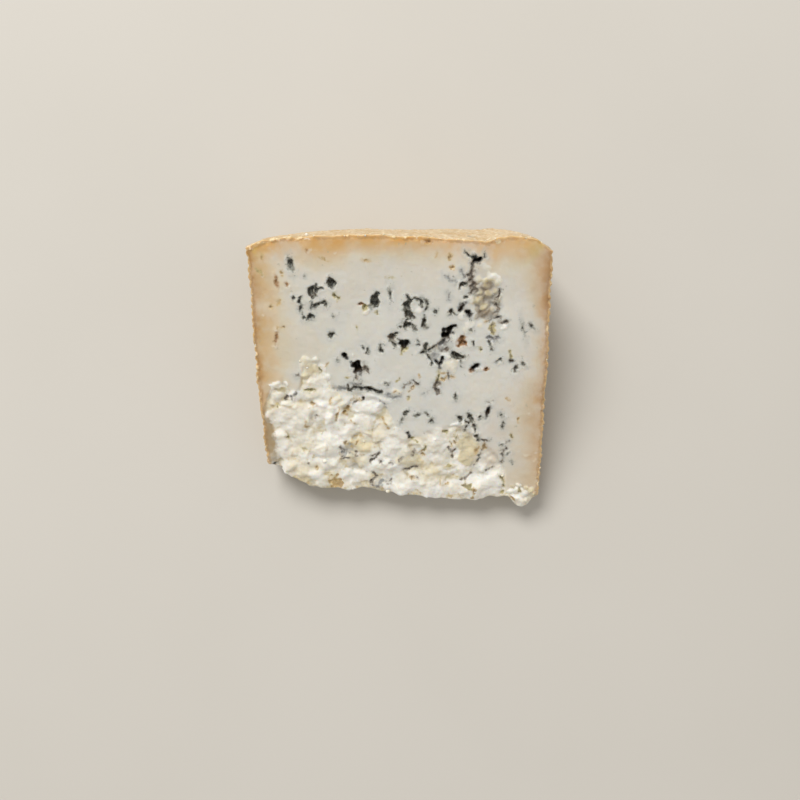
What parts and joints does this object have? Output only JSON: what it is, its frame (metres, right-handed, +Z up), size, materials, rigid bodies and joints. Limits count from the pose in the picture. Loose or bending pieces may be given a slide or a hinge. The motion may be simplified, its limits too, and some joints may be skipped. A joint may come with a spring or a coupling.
{
  "type": "blue cheese wedge",
  "caption": "Wedge of natural-rinded blue cheese lying on a cut face: rind on the back and both ends, sloping upper cut face with mould pockets, crumbly broken front.",
  "frame": {"origin": "middle of the bounding box in plan, on the flat cut face that the wedge rests on", "axes": "+X across the wheel's height from one flat side to the other, +Y from the broken core towards the rind of the rim, +Z up from the resting face"},
  "size_m": [0.1078, 0.1068, 0.0492],
  "materials": {
    "cheese_paste": "moist ivory cheese paste with blue-grey mould pockets, tan towards a rough golden rind; soft satin sheen"
  },
  "bodies": {
    "root": {"cheese_wedge": "cheese_paste"}
  },
  "joints": []
}
